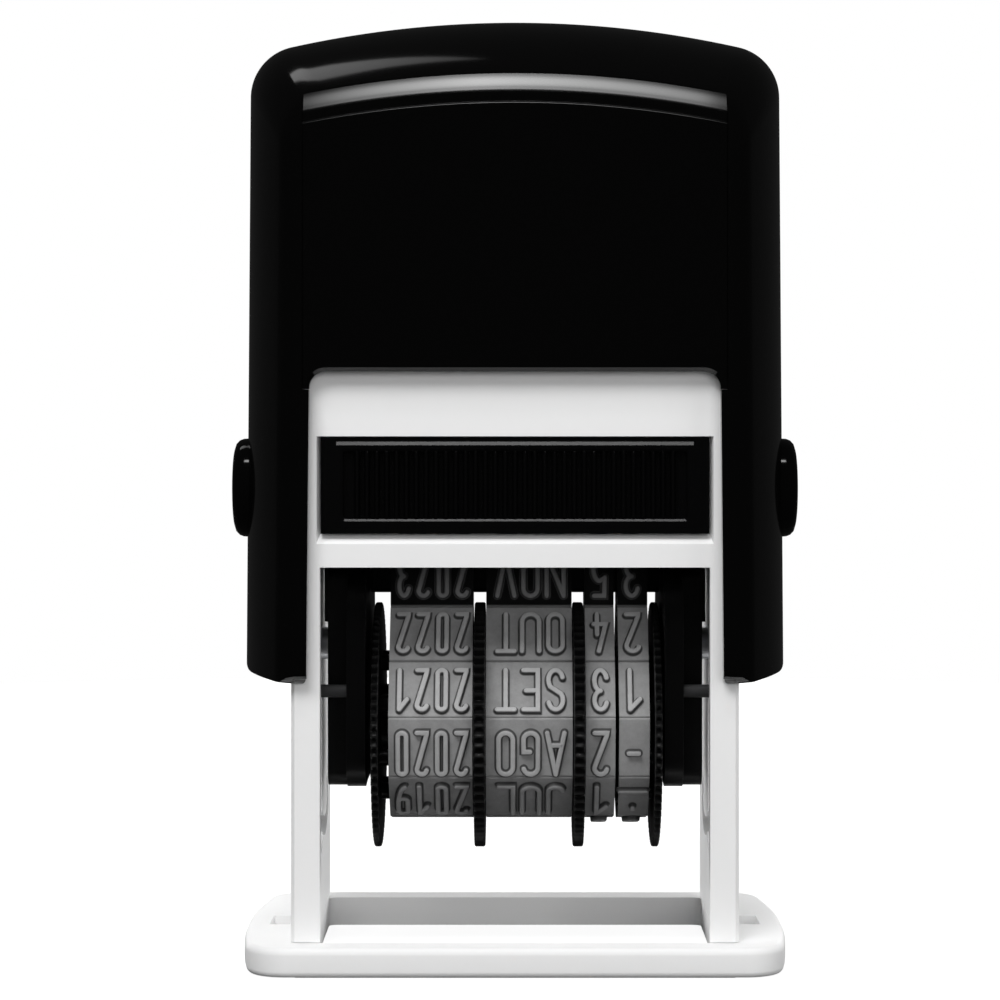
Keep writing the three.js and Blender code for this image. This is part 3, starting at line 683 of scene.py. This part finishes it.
def glyph(ch, w):
    """The strokes of a character 1 high and about w wide: (points, closed)."""
    m = w / 2
    curves = {
        "0": [(oval(w), True)],
        "1": [([(0.8 * w, 1), (0.8 * w, 0)], False), ([(0.8 * w, 1), (0.0, 0.74)], False)],
        "2": [
            (ellipse(m, 1 - m, m, m, 168, -28) + [(0.02 * w, 0.06), (0.0, 0), (w, 0)], False),
        ],
        "3": [
            (ellipse(m, 0.765, m, 0.235, 165, -90), False),
            (ellipse(m, 0.265, m, 0.265, 90, -165), False),
        ],
        "4": [
            ([(0.6 * w, 1), (0, 0.27), (w, 0.27)], False),
            ([(0.72 * w, 0.55), (0.72 * w, 0)], False),
        ],
        "5": [
            (
                [(0.92 * w, 1), (0.1 * w, 1), (0.06 * w, 0.56)]
                + ellipse(m, 0.32, m, 0.32, 115, -160),
                False,
            )
        ],
        "6": [
            (oval(w, 0, 0.56), True),
            (ellipse(0.9 * w, 0.3, 0.9 * w, 0.7, 180, 100, 10), False),
        ],
        "7": [([(0, 1), (w, 1), (0.35 * w, 0)], False)],
        "8": [(oval(w, 0, 0.52), True), (oval(w * 0.9, 0.52, 1.0), True)],
        "9": [
            (oval(w, 0.44, 1.0), True),
            (ellipse(0.1 * w, 0.7, 0.9 * w, 0.7, 0, -80, 10), False),
        ],
        "-": [([(0.1 * w, 0.5), (0.9 * w, 0.5)], False)],
        "=": [([(-0.55 * w, 0.2), (1.55 * w, 0.2)], False), ([(m, 0.78), (m, 0.84)], False)],
        "A": [([(0, 0), (m, 1), (w, 0)], False), ([(0.17 * w, 0.3), (0.83 * w, 0.3)], False)],
        "B": [
            (
                [(0, 0.5), (0, 1), (m, 1)]
                + ellipse(m, 0.76, 0.45 * w, 0.24, 80, -90, 10)
                + [(0, 0.52)],
                False,
            ),
            (
                [(0, 0.52), (m, 0.52)]
                + ellipse(m, 0.26, m, 0.26, 80, -90, 10)
                + [(0, 0), (0, 0.5)],
                False,
            ),
        ],
        "D": [
            (
                [(0, 0), (0, 1), (0.4 * w, 1)]
                + ellipse(0.4 * w, 0.5, 0.6 * w, 0.5, 85, -90)
                + [(0.02, 0)],
                False,
            )
        ],
        "E": [([(w, 1), (0, 1), (0, 0), (w, 0)], False), ([(0, 0.52), (0.82 * w, 0.52)], False)],
        "F": [([(w, 1), (0, 1), (0, 0)], False), ([(0, 0.52), (0.82 * w, 0.52)], False)],
        "G": [
            (
                ellipse(m, 1 - m, m, m, 15, 180)
                + ellipse(m, m, m, m, 180, 360)
                + [(w, 0.46), (0.55 * w, 0.46)],
                False,
            )
        ],
        "I": [([(m, 0), (m, 1)], False)],
        "J": [([(w, 1)] + ellipse(m, m, m, m, 0, -170), False)],
        "L": [([(0, 1), (0, 0), (w, 0)], False)],
        "M": [([(0, 0), (0, 1), (m, 0.3), (w, 1), (w, 0)], False)],
        "N": [([(0, 0), (0, 1), (w, 0), (w, 1)], False)],
        "O": [(oval(w), True)],
        "R": [
            (
                [(0, 0), (0, 1), (m, 1)]
                + ellipse(m, 0.75, m, 0.25, 80, -90, 10)
                + [(0.02, 0.5)],
                False,
            ),
            ([(m, 0.5), (w, 0)], False),
        ],
        "S": [
            (
                ellipse(m, 0.76, m, 0.24, 15, 200)
                + [(0.12 * w, 0.6), (0.88 * w, 0.42)]
                + ellipse(m, 0.25, m, 0.25, 20, -165),
                False,
            )
        ],
        "T": [([(0, 1), (w, 1)], False), ([(m, 1), (m, 0)], False)],
        "U": [([(0, 1)] + ellipse(m, m, m, m, 180, 360) + [(w, 1)], False)],
        "V": [([(0, 1), (m, 0), (w, 1)], False)],
        "Z": [([(0, 1), (w, 1), (0, 0), (w, 0)], False)],
    }
    return curves[ch]


def sides_of(points, closed):
    """Left-hand mitre vectors along a path."""
    out, n = [], len(points)
    for i, p in enumerate(points):
        before = points[i - 1] if (i or closed) else None
        after = points[(i + 1) % n] if (i + 1 < n or closed) else None
        ways = []
        if before is not None:
            ways.append(Vector((p[0] - before[0], p[1] - before[1])).normalized())
        if after is not None:
            ways.append(Vector((after[0] - p[0], after[1] - p[1])).normalized())
        normals = [Vector((-v.y, v.x)) for v in ways]
        total = sum(normals, Vector((0, 0)))
        size = total.length_squared
        mitre = total * (2 / size) if size > 0.25 else normals[0]
        out.append(mitre if len(normals) == 2 else normals[0])
    return out


def drop_repeats(points, closed):
    kept = []
    for p in points:
        if not kept or (p[0] - kept[-1][0]) ** 2 + (p[1] - kept[-1][1]) ** 2 > 1e-6:
            kept.append(p)
    if closed and (kept[0][0] - kept[-1][0]) ** 2 + (kept[0][1] - kept[-1][1]) ** 2 < 1e-6:
        kept.pop()
    return kept


# half width, height and tone of a stroke: painted shade round its foot and down its steep sides,
# then its full-tone top
STROKE = [
    (0.37, 0.0, 0.5),
    (0.31, 0.012, 0.22),
    (0.255, 0.03, 0.12),
    (0.22, 0.3, 0.3),
    (0.195, 0.385, 0.85),
    (0.155, 0.42, 1.0),
    (0.09, 0.43, 1.0),
]


def round_end(point, side, half, cap):
    """The points of a stroke's round end, from its left side to its right, without those two."""
    a = math.atan2(side.y, side.x)
    turns = [a - math.pi * k / cap for k in range(1, cap)]
    return [(point[0] + half * math.cos(t), point[1] + half * math.sin(t)) for t in turns]


def stroke_mesh(points, closed, put, verts, faces, tones, lift):
    """A raised ridge with sloping sides along a path. put(x, y, h) gives the place in space."""
    points = drop_repeats(points, closed)
    sides = sides_of(points, closed)
    n, cap = len(points), 7
    base = len(verts)
    rings = []
    for half, height, tone in STROKE:
        ring = [(p[0] + s.x * half, p[1] + s.y * half) for p, s in zip(points, sides)]
        if not closed:
            ring += round_end(points[-1], sides[-1], half, cap)
        way_back = zip(reversed(points), reversed(sides))
        ring += [(p[0] - s.x * half, p[1] - s.y * half) for p, s in way_back]
        if not closed:
            ring += round_end(points[0], -sides[0], half, cap)
        rings.append([put(x, y, height + lift) for x, y in ring])
        tones.extend([tone] * len(ring))
    count = len(rings[0])
    for ring in rings:
        verts.extend(ring)
    for i in range(len(rings) - 1):
        for k in range(count):
            if closed and (k == n - 1 or k == count - 1):
                continue
            a, b = base + i * count + k, base + i * count + (k + 1) % count
            faces.append((a, b, b + count, a + count))
        if closed:
            for a, b in ((n - 1, 0), (count - 1, n)):
                a, b = base + i * count + a, base + i * count + b
                faces.append((a, b, b + count, a + count))
    top = base + (len(rings) - 1) * count
    if closed:
        for k in range(n):
            following, last = (k + 1) % n, top + count - 1
            faces.append((top + k, top + following, last - following, last - k))
        return
    for k in range(n - 1):
        right, following = 2 * n + cap - 2 - k, 2 * n + cap - 3 - k
        faces.append((top + k, top + k + 1, top + following, top + right))
    faces.append(tuple(top + k for k in range(n - 1, n + cap)))
    faces.append(tuple(top + k % count for k in range(2 * n + cap - 2, count + 1)))


def band_loop():
    """The band's path in (y, z): round the drum from its front, then up and over the bridge."""
    drum = []
    for i in range(8):
        a = math.radians(45 - 36 * i)
        drum.append((-BAND_R * math.cos(a), AXLE_Z + BAND_R * math.sin(a)))
    last = drum[-1]
    halfway = ((last[0] + BRIDGE_Y) / 2, (last[1] + BRIDGE_LOW) / 2)
    back = [(BRIDGE_Y, BRIDGE_LOW), (BRIDGE_Y, BAND_FACE - 0.5), (BRIDGE_Y - 0.5, BAND_FACE)]
    return drum + [halfway] + back + [(-y, z) for y, z in reversed(back)]


def offset_outline(points, d):
    out, n = [], len(points)
    for i, p in enumerate(points):
        a = (Vector(p) - Vector(points[i - 1])).normalized()
        b = (Vector(points[(i + 1) % n]) - Vector(p)).normalized()
        mitre = Vector((a.y + b.y, -a.x - b.x))
        out.append(tuple(Vector(p) + mitre * (2 * d / mitre.length_squared)))
    return out


def split_at_corners(points):
    """Breaks a stroke where it doubles back, so that both arms keep their full width there."""
    parts = [[points[0]]]
    for before, here, after in zip(points, points[1:], points[2:]):
        parts[-1].append(here)
        way_in, way_out = Vector(here) - Vector(before), Vector(after) - Vector(here)
        if way_in.length and way_out.length and way_in.angle(way_out) > math.radians(120):
            parts.append([here])
    parts[-1].append(points[-1])
    return parts


def painted_shade_tone(z, least):
    """How light the rubber stays: near black on the bridge as painted shade, full tone on the drum,
    darker towards the bottom.
    """
    bridge_shade = between(z, 29.92, 30.02)
    darker_below = 0.2 * between(z, 21.0, 18.5) + 0.3 * between(z, 15.6, 14.2)
    return (1 - darker_below) * (1 - bridge_shade) + least * bridge_shade


def build_band(name, x0, x1):
    """The rubber band: a slab for each date position, with a groove at each corner."""
    loop = band_loop()
    tops, roots = offset_outline(loop, 0.02), offset_outline(loop, -0.34)
    outer, n = [], len(loop)
    for i, p in enumerate(tops):
        q = tops[(i + 1) % n]
        way = Vector(q) - Vector(p)
        if way.length > 2:
            way.normalize()
            for share, drop in ((0.05, 0.2), (0.12, 0.06), (0.24, 0.0)):
                at = Vector(p) + way * share
                outer.append((at.x + way.y * -drop, at.y + way.x * drop))
            for share, drop in ((0.24, 0.0), (0.12, 0.06), (0.05, 0.2)):
                at = Vector(q) - way * share
                outer.append((at.x + way.y * -drop, at.y + way.x * drop))
        outer.append(roots[(i + 1) % n])
    body = prism(name, "x", outer, x0, x1)
    corners = [(BRIDGE_Y, BAND_FACE), (-BRIDGE_Y, BAND_FACE), (-BRIDGE_Y, BRIDGE_LOW)]
    inner = offset_outline(loop[:10] + corners, -0.9)
    body = boolean(body, prism("inner", "x", inner, x0 - 1, x1 + 1), "DIFFERENCE")
    body = soften(body, 0, sharp=35)
    # painted shade: the band's colour is near black on the bridge, and darker towards the bottom of
    # the loop
    tone_points(body, [painted_shade_tone(v.co.z / MM, 0.018) for v in body.data.vertices])
    return body


def letter_width(ch, width):
    if ch == "0":
        return width * 0.86
    return width * (1.2 if ch in "TAMNVU" else 1)


def nudge(edge):
    """How far the type on the front of the drum sits off the middle of its slab."""
    return {14: 0.12, 0: 0.2, 1: 0.45, 2: 0.1}.get(edge, 0.0)


def build_type(name, middle, texts, width, advance):
    """Raised characters on the band, their tops towards the foot of the loop at the front."""
    loop, n = band_loop(), 15
    verts, faces, tones = [], [], []
    for edge, text in texts.items():
        a, b = Vector(loop[edge]), Vector(loop[(edge + 1) % n])
        way = b - a
        tall = min(TYPE_MOST, way.length - TYPE_MARGIN) - TYPE_STROKE
        up = way.normalized()
        out = Vector((up.y, -up.x))
        centre = (a + b) / 2 + up * nudge(edge)
        lines = text if isinstance(text, list) else [text]
        for letters in lines:
            span = advance * (len(letters) - 1)
            for k, ch in enumerate(letters):
                wide = letter_width(ch, width)
                left = -span / 2 + advance * k - wide / 2

                def put(x, y, h):
                    spot = centre + up * (y - tall / 2) + out * h
                    return (middle - (left + x), spot.x, spot.y)

                strokes = []
                for points, closed in glyph(ch, wide / tall):
                    path = [(px * tall, py * tall) for px, py in points]
                    parts = [path] if closed else split_at_corners(path)
                    strokes += [(part, closed) for part in parts]
                for j, (path, closed) in enumerate(strokes):
                    # every other stroke lies a hair higher, so meeting tops aren't in one plane
                    stroke_mesh(path, closed, put, verts, faces, tones, 0.004 * (j % 2) + 0.021)
    obj = make_object(name, verts, faces)
    # painted shade round the foot of each stroke and, at half tone, on the bridge; darker towards
    # the bottom of the loop
    tone_points(obj, [tone * painted_shade_tone(place[2], 0.5) for tone, place in zip(tones, verts)])
    obj.data.set_sharp_from_angle(angle=math.radians(60))
    return obj


# Loop edge number: 11 is the print face, 13 the front of the bridge, 14 the step under it, and 0
# the first on the drum. Edges 10 and 12 are the bridge's narrow corners, and carry no type.
YEARS = {11: "2024", 13: "2023", 14: "2022", 0: "2021", 1: "2020", 2: "2019"}
YEARS.update({5: "2029", 6: "2028", 7: "2027", 8: "2026", 9: "2025"})
MONTHS = {11: "DEZ", 13: "NOV", 14: "OUT", 0: "SET", 1: "AGO", 2: "JUL", 4: "MAI"}
MONTHS.update({5: "ABR", 6: "MAR", 7: "FEV", 8: "JAN"})
UNITS = {11: "6", 13: "5", 14: "4", 0: "3", 1: "2", 2: "1", 3: "0"}
UNITS.update({6: "-", 7: "9", 8: "8", 9: "7"})
TENS = {11: "0", 13: "3", 14: "2", 0: "1", 1: "-", 2: "=", 3: "3"}
TENS.update({4: "2", 5: "1", 6: "0", 7: "-", 8: "3", 9: "-"})
SET_TYPE = {
    "year": (YEARS, 0.82, 1.67, -7.05),
    "month": (MONTHS, 1.22, 2.12, 1.33),
    "day_units": (UNITS, 1.05, 1.5, 7.25),
    "day_tens": (TENS, 1.05, 1.5, 10.05),
}
for word, (disc, drum, (x0, x1)) in COLUMNS.items():
    band = build_band(word + "_rubber_band", x0 + 0.02, x1 - 0.02)
    finish_piece(band, "carriage", "date_rubber", RUBBER, word + "_band")
    texts, width, advance, middle = SET_TYPE[word]
    letters = build_type(word + "_raised_characters", middle, texts, width, advance)
    finish_piece(letters, "carriage", "date_rubber", TYPE)


# ------------------------------------------------------------------ studio
def camera_only(tree, seen, unseen):
    """A strength that is higher where the camera looks straight at it than in what it lights."""
    path = tree.nodes.new("ShaderNodeLightPath")
    amount = tree.nodes.new("ShaderNodeMapRange")
    amount.inputs["To Min"].default_value = unseen
    amount.inputs["To Max"].default_value = seen
    tree.links.new(path.outputs["Is Camera Ray"], amount.inputs["Value"])
    return amount.outputs["Result"]


def floor_material():
    mat = bpy.data.materials.new("pale_paper")
    mat.use_nodes = True
    tree = mat.node_tree
    shader = tree.nodes["Principled BSDF"]
    shader.inputs["Base Color"].default_value = (0.2, 0.2, 0.2, 1)
    shader.inputs["Roughness"].default_value = 0.7
    shader.inputs["Specular IOR Level"].default_value = 0.0
    shader.inputs["Emission Color"].default_value = (1, 1, 1, 1)
    tree.links.new(camera_only(tree, 0.9, 0.0), shader.inputs["Emission Strength"])
    return mat


def area_light(name, place, target, size_x, size_y, power):
    """A soft light that isn't seen in the gloss."""
    data = bpy.data.lights.new(name, "AREA")
    data.shape = "RECTANGLE"
    data.size, data.size_y, data.energy = size_x, size_y, power
    light = bpy.data.objects.new(name, data)
    light.location = place
    light.rotation_euler = (Vector(target) - Vector(place)).to_track_quat("-Z", "Y").to_euler()
    light.visible_glossy = False
    bpy.context.scene.collection.objects.link(light)


def ramp_along(tree, place, low, high, fade):
    """A brightness that changes from low to high on one axis; fade lists (0 to 1, level)."""
    along = tree.nodes.new("ShaderNodeMapRange")
    along.inputs["From Min"].default_value = low * MM
    along.inputs["From Max"].default_value = high * MM
    ramp = tree.nodes.new("ShaderNodeValToRGB")
    stops = ramp.color_ramp.elements
    while len(stops) < len(fade):
        stops.new(0.5)
    for stop, (share, level) in zip(stops, fade):
        stop.position = share
        stop.color = (level, level, level, 1)
    tree.links.new(place, along.inputs["Value"])
    tree.links.new(along.outputs["Result"], ramp.inputs["Fac"])
    return ramp.outputs["Color"]


def glowing_card(name, corners, glow, fade, across):
    """A card that is seen in the gloss; fade and across are its brightness along X and Y."""
    card = make_object(name, corners, [tuple(range(len(corners)))], False)
    mat = bpy.data.materials.new(name)
    mat.use_nodes = True
    tree = mat.node_tree
    shader = tree.nodes["Principled BSDF"]
    shader.inputs["Base Color"].default_value = (0, 0, 0, 1)
    shader.inputs["Specular IOR Level"].default_value = 0.0
    shader.inputs["Emission Strength"].default_value = glow
    coords = tree.nodes.new("ShaderNodeTexCoord")
    split = tree.nodes.new("ShaderNodeSeparateXYZ")
    both = tree.nodes.new("ShaderNodeVectorMath")
    both.operation = "MULTIPLY"
    tree.links.new(coords.outputs["Object"], split.inputs["Vector"])
    for i, stops in enumerate((fade, across)):
        low, high = min(c[i] for c in corners), max(c[i] for c in corners)
        level = ramp_along(tree, split.outputs["XY"[i]], low, high, stops)
        tree.links.new(level, both.inputs[i])
    tree.links.new(both.outputs["Vector"], shader.inputs["Emission Color"])
    card.data.materials.append(mat)
    card.visible_camera = False


rim = [(x, y, -0.02) for x, y in arc(0, 30, 260, 0, 360, 96)[:-1]]
floor = make_object("floor", rim, [tuple(range(len(rim)))], False)
floor.data.materials.append(floor_material())
floor.visible_glossy = False

area_light("key", (-0.15, -0.36, 0.46), (0, 0, 0.03), 0.3, 0.2, 2.6)
area_light("front_fill", (0.1, -0.55, 0.16), (0, 0, 0.04), 0.4, 0.2, 0.92)
area_light("right_fill", (0.5, -0.2, 0.25), (0, 0, 0.03), 0.3, 0.3, 0.9)
area_light("back_wall", (0, 0.5, 0.11), (0, 0, 0.03), 1.3, 0.2, 12.0)

# the cards whose reflections are the bright facet and the streak on the cap's left shoulder
facet = [(-160, -304, 620), (160, -304, 620), (160, -218, 620), (-160, -218, 620)]
ends = [(0.0, 0.1), (0.12, 0.4), (0.42, 1.0), (0.7, 0.66), (0.93, 0.42), (0.96, 0.18), (1.0, 0.05)]
edges = [(0.0, 0.02), (0.12, 0.3), (0.34, 1.0), (0.68, 1.0), (0.88, 0.4), (1.0, 0.03)]
glowing_card("facet_card", facet, 17, ends, edges)
streak = [(-285, 262), (-189, 262), (-110, 248), (-75, 222), (-45, 195), (-17, 166)]
streak += [(-45, 166), (-72, 166), (-100, 160), (-182, 157), (-292, 192)]
streak = [(x, y, 500) for x, y in streak]
fade, even = [(0.0, 1.0), (0.35, 0.9), (0.72, 0.6), (1.0, 0.25)], [(0.0, 1.0), (1.0, 1.0)]
glowing_card("left_card", streak, 1.8, fade, even)

world = bpy.data.worlds.new("studio")
world.use_nodes = True
bpy.context.scene.world = world
background = world.node_tree.nodes["Background"]
background.inputs["Color"].default_value = (1, 1, 1, 1)
world.node_tree.links.new(camera_only(world.node_tree, 1.0, 0.02), background.inputs["Strength"])

camera_data = bpy.data.cameras.new("view")
camera_data.lens = 109.4
camera_data.sensor_width = 36
camera_data.shift_x = -0.015
camera_data.shift_y = -0.07
camera = bpy.data.objects.new("view", camera_data)
camera.location = (0, -0.265, 0.04507)
camera.rotation_euler = (math.radians(90), 0, 0)
bpy.context.scene.collection.objects.link(camera)
bpy.context.scene.camera = camera
bpy.context.scene.view_settings.view_transform = "Standard"
